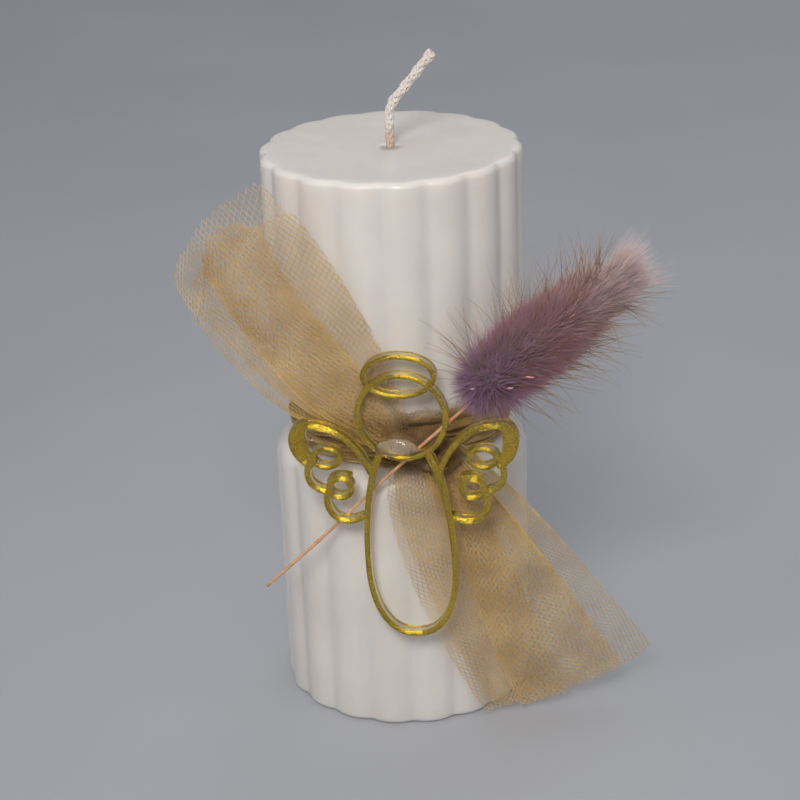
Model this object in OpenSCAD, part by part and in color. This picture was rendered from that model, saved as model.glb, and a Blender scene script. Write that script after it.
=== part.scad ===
// Ribbed pillar candle with a net sash knotted round its waist, a line-drawn angel charm and a
// dyed bunny-tail grass. Millimetres, +Z up, origin at the centre of the base.
// The front, with the knot and the charm, faces -Y.

/* [Candle] */
// Diameter of the pillar over its ribs
candle_d = 52; // [42:0.5:64]
// Height of the pillar
candle_h = 116; // [94:1:150]
// Number of ribs round the pillar
rib_count = 18; // [12:1:28]
// Depth of the valleys between the ribs
rib_depth = 1; // [0.5:0.1:1.5]
// Angle from the front of the first valley above the waist
upper_rib_turn = -5.5; // [-15:0.5:15]
// Angle from the front of the first valley below the waist
lower_rib_turn = 0.5; // [-15:0.5:15]
// Rounding of the top and bottom rims
rim_r = 1.2; // [0.6:0.1:2]

/* [Waist] */
// Height of the middle of the waist groove above the base
waist_z = 61; // [48:0.5:74]
// Height of the flat floor of the groove
waist_h = 9; // [7:0.5:12]
// Depth of the groove, which is also the radius of its shoulders
waist_depth = 5.5; // [4:0.25:7]

/* [Wick] */
// Diameter of the braided wick
wick_d = 2.2; // [1.4:0.1:3]
// Straight length of wick above the wax
wick_rise = 5.5; // [3:0.5:10]
// Radius of the bend in the wick
wick_bend_r = 6; // [4:0.5:10]
// How far the wick leans over after its bend
wick_lean = 40; // [10:5:70]
// Length of wick after its bend
wick_tip = 11.5; // [6:0.5:20]

/* [Sash] */
// Thickness of the net wound round the waist
wrap_t = 2.7; // [2:0.1:4]
// Thickness of the gathered layers in each hanging tail
net_t = 1.2; // [0.8:0.1:1.6]
// Length of the knot from side to side
knot_len = 15; // [12:0.5:20]
// Distance of the knot to the right of the middle
knot_x = 3.8; // [0:0.2:6]
// How far the knot slopes down to the right
knot_tilt = 12; // [0:1:25]
// Angle by which the upper tail turns back round the pillar
upper_tail_turn = 8; // [0:1:12]
// Angle round the pillar at which the lower tail leaves it
lower_tail_turn = 15; // [8:1:22]

/* [Charm] */
// Thickness of the clear plate
plate_t = 2; // [1.5:0.1:3]
// Thickness of the mirror layer behind it
mirror_t = 0.2; // [0.1:0.05:0.4]
// Outer radius of the head ring
head_r = 9.05; // [7:0.05:11]
// Width of the ring's line
ring_w = 1; // [0.8:0.1:1.5]
// Width of the halo
halo_w = 14.6; // [12:0.1:17]
// Height of the halo
halo_h = 9.1; // [7.5:0.1:11]
// Height of the halo's centre above the head's
halo_rise = 8.45; // [7:0.05:10]
// Half the width of the dress
dress_half_w = 9.15; // [7:0.05:11]
// Depth of the hem below the head's centre
dress_drop = 47.3; // [38:0.1:56]
// Width of the dress line
dress_w = 1.1; // [1:0.1:1.8]
// Height of the head's centre above the middle of the waist
charm_rise = 10.4; // [8:0.1:14]
// How far the charm's right side is turned forward
charm_turn = 9.4; // [6:0.2:12]
// How far the charm leans, with its hem to the right
charm_lean = 1.9; // [0:0.1:5]
// Room between the hanging net and the back of the charm
charm_standoff = 1.75; // [1.6:0.05:2.5]

/* [Grass] */
// Diameter of the stem
stem_d = 0.7; // [0.5:0.05:1]
// Length of stem outside the flower head
stem_len = 56.5; // [40:0.5:80]
// Slope of the stem up to the right
stem_slope = 42.3; // [38:0.1:46]
// Length of the flower head
flower_len = 45; // [36:0.5:54]
// Radius of the flower head at its widest
flower_r = 6.9; // [5:0.1:8]
// Slope of the flower head up to the right
flower_slope = 39.4; // [36:0.1:44]

/* [Clearances] */
// Gap between the wick and the wax round it
wick_gap = 0.05; // [0:0.01:0.1]
// Gap between the wax and the net
net_gap = 0.35; // [0.3:0.05:0.6]
// Gap between pieces that lie against each other
touch_gap = 0.05; // [0.02:0.01:0.1]
// Height of the lower tail's hem above the table
hem_gap = 1.2; // [0.8:0.1:3]

/* [Hidden] */
$fn = 64;

candle_r = candle_d / 2;
waist_r = candle_r - waist_depth;
waist_low = waist_z - waist_h / 2;
waist_high = waist_z + waist_h / 2;

// Each rib is an arc through the crest and the two valleys beside it
rib_half_angle = 180 / rib_count;
valley_r = candle_r - rib_depth;
rib_centre = (pow(candle_r, 2) - pow(valley_r, 2))
    / (2 * (candle_r - valley_r * cos(rib_half_angle)));
rib_r = candle_r - rib_centre;

// The drum that rounds the rims stands a hair outside the crests of the ribs
drum_r = candle_r + 0.02;

// The sash, from the wax outwards
wrap_inner = waist_r + touch_gap;
wrap_outer = wrap_inner + wrap_t;
tail_inner = candle_r + net_gap;
tail_outer = tail_inner + net_t;

// The charm's plate stands off the tails; the stem lies against its back
charm_out = tail_outer + charm_standoff + mirror_t + plate_t;
charm_z = waist_z + charm_rise;
charm_back = -(plate_t + mirror_t);
stem_depth = charm_back - touch_gap - stem_d / 2;

// The knot reaches from inside the wrap almost to the back of the stem
knot_sink = 1.2;
stem_room = 0.3;
knot_front = tail_outer + charm_standoff + knot_x * tan(charm_turn) - stem_d - stem_room;
knot_r = (knot_front - wrap_outer + knot_sink) / 2;

// Where the stem enters the flower head, and the flower head's base, in the charm's plane
stem_top = [head_r + 2.65, 0.4];
flower_base = [head_r + 3.25, 2.6];
stem_inside = 12;

// The dress line: its widest level, the angle where it meets the head ring, and its upper height
dress_line_w = dress_half_w - dress_w / 2;
dress_middle = 16.3 - dress_drop;
dress_shoulder = 148;
shoulder_y = -sqrt(pow(head_r - ring_w / 2, 2) - pow(dress_line_w * sin(dress_shoulder), 2));
dress_rise = (shoulder_y - dress_middle) / -cos(dress_shoulder);

// ---- shapes used more than once ----

function bezier(p, t) =
    pow(1 - t, 3) * p[0]
    + 3 * pow(1 - t, 2) * t * p[1]
    + 3 * (1 - t) * pow(t, 2) * p[2]
    + pow(t, 3) * p[3];

function curve(p, steps) = [for (i = [0 : steps]) bezier(p, i / steps)];

function across(a, b) = [a.y - b.y, b.x - a.x] / norm(b - a);

// One side of a line of changing width that follows a path
function side_of(path, half_w) = [
    for (i = [0 : len(path) - 1])
        path[i] + half_w[i] * across(path[max(i - 1, 0)], path[min(i + 1, len(path) - 1)])
];

function reversed(list) = [for (i = [len(list) - 1 : -1 : 0]) list[i]];

// Half a circle of points beyond one end of a path, starting at the given side
function round_end(end, before, half_w, steps = 5) =
    let (ahead = (end - before) / norm(end - before))
    let (left = [-ahead.y, ahead.x])
    [for (i = [1 : steps]) end + half_w * (cos(180 * i / (steps + 1)) * left
        + sin(180 * i / (steps + 1)) * ahead)];

// A drawn line along a path, with round ends
module line_along(path, widths) {
    half = [for (w = widths) w / 2];
    last = len(path) - 1;
    polygon(concat(
        side_of(path, half),
        round_end(path[last], path[last - 1], half[last]),
        reversed(side_of(path, -half)),
        round_end(path[0], path[1], half[0])
    ));
}

// A pen stroke along a Bezier curve, wider by belly in the middle
module stroke(p, w_start, w_end, belly = 0, steps = 12) {
    widths = [
        for (i = [0 : steps])
            w_start + (w_end - w_start) * i / steps + belly * sin(180 * i / steps)
    ];
    line_along(curve(p, steps), widths);
}

function oval(half, steps) = [
    for (i = [0 : steps - 1])
        [half.x * cos(360 * i / steps), half.y * sin(360 * i / steps)]
];

module oval_ring(outer, inner, steps) {
    difference() {
        polygon(oval(outer, steps));
        polygon(oval(inner, steps));
    }
}

// A solid like a spindle lying along X
module spindle(half_len, r, steps = 14) {
    rotate([0, 90, 0])
        rotate_extrude()
            polygon([
                for (i = [0 : steps])
                    [r * sin(180 * i / steps), -half_len * cos(180 * i / steps)]
            ]);
}

// The charm's own plane: X right, Y up, Z towards the viewer, origin at the head's centre
module at_charm() {
    translate([0, -charm_out, charm_z])
        rotate([0, 0, -charm_turn])
            rotate([90, 0, 0])
                rotate([0, 0, charm_lean])
                    children();
}

// ---- candle ----

// Half section of a rounded drum between two heights
module drum_section(low, high, low_r, high_r) {
    inner = drum_r - max(low_r, high_r);
    translate([0, low])
        square([inner, high - low]);
    translate([0, low + low_r])
        square([drum_r, high - low - low_r - high_r]);
    for (corner = [[low + low_r, low_r], [high - high_r, high_r]]) {
        translate([drum_r - corner[1], corner[0]])
            circle(r = corner[1]);
        translate([0, corner[0] - corner[1]])
            square([drum_r - corner[1], 2 * corner[1]]);
    }
}

module ribbed_outline(turn) {
    circle(r = rib_centre);
    for (i = [0 : rib_count - 1])
        rotate((i + 0.5) * 360 / rib_count - 90 + turn)
            translate([rib_centre, 0])
                circle(r = rib_r);
}

module ribbed_drum(low, high, low_r, high_r, turn) {
    intersection() {
        rotate_extrude()
            drum_section(low, high, low_r, high_r);
        translate([0, 0, low - 1])
            linear_extrude(high - low + 2)
                ribbed_outline(turn);
    }
}

module candle_body() {
    color("ivory")
        difference() {
            union() {
                ribbed_drum(0, waist_low, rim_r, waist_depth, lower_rib_turn);
                translate([0, 0, waist_low - 1])
                    cylinder(r = waist_r, h = waist_h + 2);
                ribbed_drum(waist_high, candle_h, waist_depth, rim_r, upper_rib_turn);
            }
            translate([0, 0, -1])
                cylinder(d = wick_d + 2 * wick_gap, h = candle_h + 2);
        }
}

// The wick stands straight out of the wax and then bends over
module wick() {
    bend_z = candle_h + wick_rise;
    bend_end = [wick_bend_r * (1 - cos(wick_lean)), 0, bend_z + wick_bend_r * sin(wick_lean)];
    knuckle_d = wick_d + 0.04;
    color("linen")
        union() {
            cylinder(d = wick_d, h = bend_z);
            translate([0, 0, bend_z])
                sphere(d = knuckle_d);
            translate([wick_bend_r, 0, bend_z])
                rotate([90, 0, 0])
                    rotate_extrude(start = 180 - wick_lean, angle = wick_lean)
                        translate([wick_bend_r, 0])
                            circle(d = wick_d);
            translate(bend_end)
                sphere(d = knuckle_d);
            translate(bend_end)
                rotate([0, wick_lean, 0])
                    cylinder(d = wick_d, h = wick_tip);
        }
}

// ---- sash ----

// The knot, grown by a gap where something lies against it
module knot_shape(grow) {
    translate([knot_x, knot_r - knot_front, waist_z + 2])
        rotate([0, knot_tilt, 0])
            spindle(knot_len / 2 + grow, knot_r + grow);
}

module tulle_waist_wrap() {
    belly = 0.8;
    half_h = waist_h / 2 - touch_gap;
    color("tan")
        rotate_extrude()
            polygon(concat(
                [[wrap_inner, waist_z - half_h], [wrap_inner, waist_z + half_h]],
                [
                    for (i = [0 : 8])
                        [wrap_outer - belly * pow(1 - i / 4, 2), waist_z + half_h * (1 - i / 4)]
                ]
            ));
}

// The knot lies on the wrap and stays clear of both shoulders of the wax
module tulle_knot() {
    color("peru")
        difference() {
            knot_shape(0);
            translate([0, 0, waist_low])
                cylinder(r = wrap_outer + touch_gap, h = waist_h);
            rotate_extrude()
                drum_section(0, waist_low, rim_r, waist_depth);
            rotate_extrude()
                drum_section(waist_high, candle_h, waist_depth, rim_r);
        }
}

// The upper tail fans out up and to the left, close in front of the pillar
module tulle_tail_upper() {
    outline = concat(
        curve([[6.5, 5], [5.5, 18], [-2, 34], [-20.2, 55.6]], 8),
        curve([[-20.2, 55.6], [-30, 52.5], [-38.5, 46], [-38.2, 36]], 8),
        curve([[-38.2, 36], [-34, 24], [-22, 8], [1, -1]], 8)
    );
    color("burlywood")
        difference() {
            rotate([0, 0, -upper_tail_turn])
                translate([0, -tail_inner, waist_z])
                    rotate([90, 0, 0])
                        linear_extrude(net_t)
                            polygon(outline);
            knot_shape(touch_gap);
        }
}

// Seen from above, the lower tail follows the pillar and then leaves it along a straight line
module lower_tail_plan() {
    first_turn = -8;
    arc_end = lower_tail_turn + 1;
    reach = 48;
    intersection() {
        difference() {
            circle(r = tail_outer);
            circle(r = tail_inner);
        }
        polygon([
            [0, 0],
            2 * candle_r * [sin(first_turn), -cos(first_turn)],
            2 * candle_r * [sin(arc_end), -cos(arc_end)]
        ]);
    }
    rotate(lower_tail_turn)
        translate([0, -tail_outer])
            square([reach, net_t]);
}

module tulle_tail_lower() {
    top = waist_z - 1;
    outline = concat(
        curve([[-0.5, top], [-5, top - 16], [4, 22], [15.6, hem_gap]], 8),
        curve([[15.6, hem_gap], [28, hem_gap], [42, hem_gap + 4.3], [51, hem_gap + 8.2]], 8),
        curve([[51, hem_gap + 8.2], [43, 22], [24, top - 12], [10.5, top + 1.5]], 8)
    );
    color("burlywood")
        difference() {
            intersection() {
                linear_extrude(waist_z + waist_h)
                    lower_tail_plan();
                rotate([90, 0, 0])
                    linear_extrude(2 * candle_r)
                        polygon(outline);
            }
            knot_shape(touch_gap);
        }
}

// ---- angel charm ----

// Cuts each outline from a plate of its own, so that they join as solids
module cut_lines(thickness) {
    for (i = [0 : $children - 1])
        linear_extrude(thickness)
            children(i);
}

// Half the width of the dress line at a height above its widest level
function dress_x(y) = dress_line_w * sqrt(1 - pow((y - dress_middle) / dress_rise, 2));

// Right wing: a swept top line, a crescent, two curls and two lobes
module wing(thickness) {
    top_join = [dress_x(-11.6) + 0.5, -11.6];
    low_join = [dress_x(-21) + 0.5, -21];
    cut_lines(thickness) {
        stroke([top_join, [9.3, -4.6], [13.6, -1.7], [18.6, -1.7]], 1.1, 1.4);
        stroke([[18.6, -1.7], [21.4, -1.7], [21.7, -7], [18.6, -9.8]], 1.4, 1.8, 1.5);
        translate([15.25, -8.5])
            oval_ring([3.25, 2.45], [2.1, 1.4], 28);
        stroke([[18.7, -9.6], [19.9, -12.4], [18.9, -15.2], [15.4, -15.6]], 1.2, 1.2);
        translate([12.95, -14.85])
            oval_ring([2.75, 2.6], [1.6, 1.4], 28);
        stroke([[14.8, -13.2], [13.8, -12.2], [12.4, -12.2], [11, -12.6]], 1.2, 0.9, 0, 6);
        stroke([[15.4, -15.7], [16.8, -20], [13.6, -23.6], low_join], 1.3, 1.2);
    }
}

// A point on the dress line, by its angle from the hem round to the shoulder
function dress_point(angle) =
    let (fullness = 0.87)
    let (half = abs(angle))
    let (drop = dress_drop - dress_w / 2 + dress_middle)
    let (x = dress_line_w * (half < 90 ? pow(sin(half), fullness) : sin(half)))
    let (y = dress_middle - (half < 90 ? drop * pow(cos(half), fullness) : dress_rise * cos(half)))
    [sign(angle) * x, y];

module dress() {
    path = [for (a = [-dress_shoulder : 8 : dress_shoulder]) dress_point(a)];
    line_along(path, [for (point = path) dress_w + 0.3 * pow(abs(point.y - dress_middle) / 24, 2)]);
}

module angel_plate(thickness) {
    cut_lines(thickness) {
        difference() {
            circle(r = head_r);
            circle(r = head_r - ring_w);
        }
        translate([0, halo_rise])
            oval_ring([halo_w, halo_h] / 2, [halo_w, halo_h] / 2 - [ring_w, ring_w], 48);
        dress();
    }
    for (side = [0, 1])
        mirror([side, 0, 0])
            wing(thickness);
}

module angel_acrylic() {
    color("gold")
        at_charm()
            translate([0, 0, -plate_t])
                angel_plate(plate_t);
}

module angel_mirror_back() {
    color("goldenrod")
        at_charm()
            translate([0, 0, charm_back])
                angel_plate(mirror_t);
}

// ---- grass ----

// The stem's own line, with its upper end where it enters the flower head
module stem_shape(grow, extra) {
    at_charm()
        translate([stem_top.x, stem_top.y, stem_depth])
            rotate([0, 0, stem_slope])
                rotate([0, -90, 0])
                    translate([0, 0, -stem_inside - extra])
                        cylinder(d = stem_d + 2 * grow, h = stem_inside + stem_len + extra);
}

module bunny_tail_stem() {
    color("sandybrown")
        stem_shape(0, 0);
}

// Radius of the flower head at a distance along it
function flower_radius(along) =
    let (wide = 0.27 * flower_len)
    let (s = along < wide ? 1 - along / wide : (along - wide) / (flower_len - wide))
    let (power = along < wide ? 2.6 : 2.2)
    flower_r * pow(1 - pow(s, power), 1 / power);

module bunny_tail_head() {
    steps = 24;
    color("rosybrown")
        difference() {
            at_charm()
                translate([flower_base.x, flower_base.y, stem_depth])
                    rotate([0, 0, flower_slope])
                        rotate([0, 90, 0])
                            rotate_extrude()
                                polygon([
                                    for (i = [0 : steps])
                                        let (along = flower_len * (1 - cos(180 * i / steps)) / 2)
                                            [flower_radius(along), along]
                                ]);
            stem_shape(touch_gap, touch_gap);
        }
}

// ---- glue ----

// A dab between the back of the charm, the stem and the knot, in front of the upper tail
module glue_dab() {
    dab_place = [-1.6, 1.85 - head_r];
    behind = 20;
    color("whitesmoke")
        difference() {
            at_charm()
                intersection() {
                    translate([dab_place.x, dab_place.y, charm_back - 0.9])
                        spindle(3.8, 2.2);
                    translate([dab_place.x - 5, dab_place.y - 5, charm_back - 5])
                        cube([10, 10, 5 - touch_gap]);
                }
            rotate([0, 0, -upper_tail_turn])
                translate([-behind / 2, -tail_outer - touch_gap, waist_z])
                    cube(behind);
            knot_shape(touch_gap);
            stem_shape(touch_gap, 0);
        }
}

candle_body();
wick();
tulle_waist_wrap();
tulle_knot();
tulle_tail_upper();
tulle_tail_lower();
angel_acrylic();
angel_mirror_back();
bunny_tail_head();
bunny_tail_stem();
glue_dab();
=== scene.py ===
"""Ribbed pillar candle with a net sash, a line-drawn angel charm and a dyed bunny-tail grass."""
import math
import random

import bpy
from mathutils import Matrix, Vector, noise


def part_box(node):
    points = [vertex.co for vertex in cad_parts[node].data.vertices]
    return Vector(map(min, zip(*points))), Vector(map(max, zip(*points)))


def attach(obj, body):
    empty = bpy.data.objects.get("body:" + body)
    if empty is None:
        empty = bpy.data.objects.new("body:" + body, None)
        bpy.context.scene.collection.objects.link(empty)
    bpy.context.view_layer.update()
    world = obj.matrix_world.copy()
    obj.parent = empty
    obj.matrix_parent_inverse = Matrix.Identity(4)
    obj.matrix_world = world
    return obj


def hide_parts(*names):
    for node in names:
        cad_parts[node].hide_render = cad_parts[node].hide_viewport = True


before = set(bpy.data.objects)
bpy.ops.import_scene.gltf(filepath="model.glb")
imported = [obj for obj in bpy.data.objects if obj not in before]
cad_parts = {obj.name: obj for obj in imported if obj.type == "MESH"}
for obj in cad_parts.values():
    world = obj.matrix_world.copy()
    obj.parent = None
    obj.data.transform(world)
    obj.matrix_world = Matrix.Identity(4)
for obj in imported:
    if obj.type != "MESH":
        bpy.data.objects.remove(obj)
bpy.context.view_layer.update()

MM = 0.001
random.seed(7)

# ---- places taken from the CAD frame, in millimetres ----

WAX_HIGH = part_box("candle_body")[1] / MM
WRAP_LOW, WRAP_HIGH = (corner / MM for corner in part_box("tulle_waist_wrap"))
KNOT_LOW, KNOT_HIGH = (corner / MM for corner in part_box("tulle_knot"))
CANDLE_R = WAX_HIGH.x
CANDLE_H = WAX_HIGH.z
WAIST_Z = (WRAP_LOW.z + WRAP_HIGH.z) / 2
WAIST_HALF = (WRAP_HIGH.z - WRAP_LOW.z) / 2 + 0.05
WRAP_R = WRAP_HIGH.x

# ---- the design's own sizes, as the CAD source has them ----

RIB_COUNT = 18
RIB_DEPTH = 1.0
UPPER_RIB_TURN = math.radians(-5.5)
LOWER_RIB_TURN = math.radians(0.5)
RIM_R = 1.2
WAIST_DEPTH = 5.5
WAIST_R = CANDLE_R - WAIST_DEPTH

# the wick stands straight out of the wax, bends over and ends in a straight tip
WICK_R = 1.1
WICK_RISE = 5.5
WICK_BEND_R = 6.0
WICK_LEAN = math.radians(40)
WICK_TIP = 11.5

# the net's tails hang just clear of the ribs, each turned about the candle's axis
TAIL_R = CANDLE_R + 0.35
UPPER_TAIL_TURN = math.radians(-8)
LOWER_TAIL_TURN = math.radians(15)

# the charm's face stands this far out; stem and flower are placed in the charm's own frame
CHARM_OUT = 31.5
CHARM_Z = WAIST_Z + 10.4
CHARM_TURN = math.radians(-9.4)
CHARM_LEAN = math.radians(1.9)
HEAD_R = 9.05
STEM_DEPTH = -2.6
STEM_TOP = Vector((HEAD_R + 2.65, 0.4, STEM_DEPTH))
STEM_SLOPE = math.radians(42.3)
STEM_LEN = 56.5
STEM_INSIDE = 12
FLOWER_BASE = Vector((HEAD_R + 3.25, 2.6, STEM_DEPTH))
FLOWER_SLOPE = math.radians(39.4)
FLOWER_LEN = 45.0

# nothing of the plume stands further forward than this
FRONT_LIMIT = -42.3

# a net thread's radius, and the usual cell's width and length
THREAD = 0.067
CELL = (1.05, 1.7)

CHARM = (
    Matrix.Translation((0, -CHARM_OUT, CHARM_Z))
    @ Matrix.Rotation(CHARM_TURN, 4, "Z")
    @ Matrix.Rotation(math.radians(90), 4, "X")
    @ Matrix.Rotation(CHARM_LEAN, 4, "Z")
)


# ---- camera, placed in metres ----

CAMERA_PLACE = (0, -0.4060, 0.2352)
CAMERA_PITCH = math.radians(23.14)
CAMERA_ROLL = math.radians(-2.23)
CAMERA_LENS = 96.66


def add_camera():
    """Long lens, a little above the candle, with the slight roll of a hand-held shot."""
    ahead = Vector((0, math.cos(CAMERA_PITCH), -math.sin(CAMERA_PITCH)))
    level = Vector((1, 0, 0))
    upright = level.cross(ahead)
    right = level * math.cos(CAMERA_ROLL) + upright * math.sin(CAMERA_ROLL)
    up = upright * math.cos(CAMERA_ROLL) - level * math.sin(CAMERA_ROLL)
    data = bpy.data.cameras.new("camera")
    data.lens = CAMERA_LENS
    data.sensor_width = 36
    data.clip_start = 0.01
    camera = bpy.data.objects.new("camera", data)
    turned = Matrix((right, up, -ahead)).transposed().to_4x4()
    camera.matrix_world = Matrix.Translation(CAMERA_PLACE) @ turned
    bpy.context.scene.collection.objects.link(camera)
    bpy.context.scene.camera = camera


# ---- mesh helpers; every shape is worked out in millimetres ----

def make_object(name, points, faces, material, replaces=()):
    """A smooth piece of the candle, which may stand in for nodes of the CAD."""
    mesh = bpy.data.meshes.new(name)
    mesh.from_pydata([point * MM for point in points], [], faces)
    mesh.shade_smooth()
    mesh.materials.append(material)
    piece = bpy.data.objects.new(name, mesh)
    bpy.context.scene.collection.objects.link(piece)
    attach(piece, "root")
    if replaces:
        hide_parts(*replaces)
    return piece


def set_attribute(piece, name, values):
    """A number on each point, which the shaders read by name."""
    attribute = piece.data.attributes.new(name, "FLOAT", "POINT")
    attribute.data.foreach_set("value", values)


def ring_faces(rows, columns, first=0, along_first=False):
    """Quads between closed rings of points; along_first makes them face the other way."""
    faces = []
    for i in range(rows):
        for k in range(columns):
            a = first + i * columns + k
            b = first + i * columns + (k + 1) % columns
            if along_first:
                faces.append((a, a + columns, b + columns, b))
            else:
                faces.append((a, b, b + columns, a + columns))
    return faces


def bezier(*controls):
    """The curve from the first to the last of four control points, as a function of 0 to 1."""
    a, b, c, d = (Vector(point) for point in controls)

    def at(t):
        u = 1 - t
        return u**3 * a + 3 * u * u * t * b + 3 * u * t * t * c + t**3 * d

    return at


def coons(knot, free, left, right):
    """The surface between four curves: across the knot end and the free end, and up both sides."""

    def at(s, t):
        corners = (
            (1 - s) * (1 - t) * knot(0) + s * (1 - t) * knot(1)
            + (1 - s) * t * free(0) + s * t * free(1)
        )
        return (1 - t) * knot(s) + t * free(s) + (1 - s) * left(t) + s * right(t) - corners

    return at


def ring_point(radius, turn, height):
    """A place by its distance from the candle's axis, its angle from the front and its height."""
    return Vector((radius * math.sin(turn), -radius * math.cos(turn), height))


def smoothstep(low, high, value):
    """0 up to low, 1 from high on, and a smooth rise between them."""
    t = min(max((value - low) / (high - low), 0), 1)
    return t * t * (3 - 2 * t)


class Strands:
    """Thin tapered tubes gathered into one mesh."""

    def __init__(self, sides=3):
        self.sides = sides
        self.points = []
        self.faces = []
        self.tints = []
        self.alongs = []

    def add(self, path, radii, tint=0.0):
        """An open tube whose rings all face from its first point to its last."""
        first = len(self.points)
        axis = (path[-1] - path[0]).normalized()
        side = axis.orthogonal().normalized()
        other = axis.cross(side)
        ring = [
            math.cos(math.tau * k / self.sides) * side
            + math.sin(math.tau * k / self.sides) * other
            for k in range(self.sides)
        ]
        last = len(path) - 1
        for i, (centre, radius) in enumerate(zip(path, radii)):
            self.points.extend(centre + radius * arm for arm in ring)
            self.mark(self.sides, tint, i / last)
        self.faces.extend(ring_faces(last, self.sides, first))

    def add_bent(self, path, radii, tint=0.0):
        """A tube whose rings follow the path's bends, closed at both ends."""
        first = len(self.points)
        last = len(path) - 1
        side = (path[1] - path[0]).normalized().orthogonal().normalized()
        for i, (centre, radius) in enumerate(zip(path, radii)):
            axis = (path[min(i + 1, last)] - path[max(i - 1, 0)]).normalized()
            side = (side - side.dot(axis) * axis).normalized()
            other = axis.cross(side)
            for k in range(self.sides):
                turn = math.tau * k / self.sides
                self.points.append(
                    centre + radius * (math.cos(turn) * side + math.sin(turn) * other))
            self.mark(self.sides, tint, i / last)
        self.faces.extend(ring_faces(last, self.sides, first))
        self.faces.append(tuple(range(first + self.sides - 1, first - 1, -1)))
        end = first + last * self.sides
        self.faces.append(tuple(range(end, end + self.sides)))

    def mark(self, count, tint, along):
        """Give the points added last their tint and their share of the strand's length."""
        self.tints.extend([tint] * count)
        self.alongs.extend([along] * count)

    def build(self, name, material, replaces=()):
        """Turn what was gathered into one piece."""
        piece = make_object(name, self.points, self.faces, material, replaces)
        set_attribute(piece, "tint", self.tints)
        set_attribute(piece, "along", self.alongs)
        return piece


# ---- materials ----

class Shader:
    """A Principled material with short calls for the nodes that feed it."""

    def __init__(self, name, **constants):
        self.material = bpy.data.materials.new(name)
        self.material.use_nodes = True
        self.tree = self.material.node_tree
        self.bsdf = self.tree.nodes["Principled BSDF"]
        self.place = self.node("ShaderNodeTexCoord").outputs["Object"]
        for socket, value in constants.items():
            self.bsdf.inputs[socket.replace("_", " ")].default_value = value

    def node(self, kind, **settings):
        made = self.tree.nodes.new(kind)
        for key, value in settings.items():
            setattr(made, key, value)
        return made

    def link(self, source, target):
        self.tree.links.new(source, target)

    def feed(self, socket, value):
        """Set a socket to a number or a colour, or link it to another node's output."""
        if isinstance(value, (int, float)):
            socket.default_value = value
        elif isinstance(value, tuple):
            socket.default_value = (*value, 1)
        else:
            self.link(value, socket)

    def noise(self, scale, detail=2.0, stretch=(1, 1, 1), rough=0.5):
        """Noise whose features measure about 1/scale metres."""
        mapping = self.node("ShaderNodeMapping")
        mapping.inputs["Scale"].default_value = stretch
        texture = self.node("ShaderNodeTexNoise")
        texture.inputs["Scale"].default_value = scale
        texture.inputs["Detail"].default_value = detail
        texture.inputs["Roughness"].default_value = rough
        self.link(self.place, mapping.inputs["Vector"])
        self.link(mapping.outputs["Vector"], texture.inputs["Vector"])
        return texture.outputs["Fac"]

    def attribute(self, name):
        return self.node("ShaderNodeAttribute", attribute_name=name).outputs["Fac"]

    def ramp(self, factor, *stops):
        """Colours along a factor, as (position, colour) pairs."""
        made = self.node("ShaderNodeValToRGB")
        elements = made.color_ramp.elements
        while len(elements) < len(stops):
            elements.new(0.5)
        for element, (position, colour) in zip(elements, stops):
            element.position = position
            element.color = (*colour, 1)
        self.link(factor, made.inputs["Fac"])
        return made.outputs["Color"]

    def mix(self, factor, a, b, blend="MIX"):
        made = self.node("ShaderNodeMix", data_type="RGBA", blend_type=blend)
        for socket, value in ((0, factor), (6, a), (7, b)):
            self.feed(made.inputs[socket], value)
        return made.outputs[2]

    def math(self, operation, a, b=0.0):
        made = self.node("ShaderNodeMath", operation=operation)
        for socket, value in ((0, a), (1, b)):
            self.feed(made.inputs[socket], value)
        return made.outputs[0]

    def colour(self, source):
        self.link(source, self.bsdf.inputs["Base Color"])

    def roughness(self, source, low, high):
        spread = self.node("ShaderNodeMapRange")
        spread.inputs["To Min"].default_value = low
        spread.inputs["To Max"].default_value = high
        self.link(source, spread.inputs["Value"])
        self.link(spread.outputs["Result"], self.bsdf.inputs["Roughness"])

    def bump(self, height, depth_mm, strength=1.0):
        made = self.node("ShaderNodeBump")
        made.inputs["Strength"].default_value = strength
        made.inputs["Distance"].default_value = depth_mm * MM
        self.link(height, made.inputs["Height"])
        self.link(made.outputs["Normal"], self.bsdf.inputs["Normal"])


def wax_material():
    """Ivory paraffin: soft translucent body, faint mottling, satin skin."""
    wax = Shader("ivory_wax", IOR=1.44, Specular_IOR_Level=0.45,
                 Subsurface_Weight=0.55, Subsurface_Scale=5 * MM,
                 Subsurface_Radius=(1.0, 0.72, 0.5), Coat_Weight=0.16, Coat_Roughness=0.16)
    cloud = wax.noise(55, 3)
    streak = wax.noise(240, 2, (1, 1, 0.12))
    body = wax.ramp(cloud, (0.3, (0.69, 0.635, 0.585)), (0.7, (0.76, 0.715, 0.67)))
    wax.colour(wax.mix(wax.math("MULTIPLY", streak, 0.12), body, (0.60, 0.54, 0.48)))
    wax.roughness(wax.noise(400, 2), 0.30, 0.45)
    wax.bump(wax.math("ADD", wax.noise(700, 3), wax.math("MULTIPLY", streak, 0.6)), 0.05, 0.5)
    return wax.material


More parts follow.
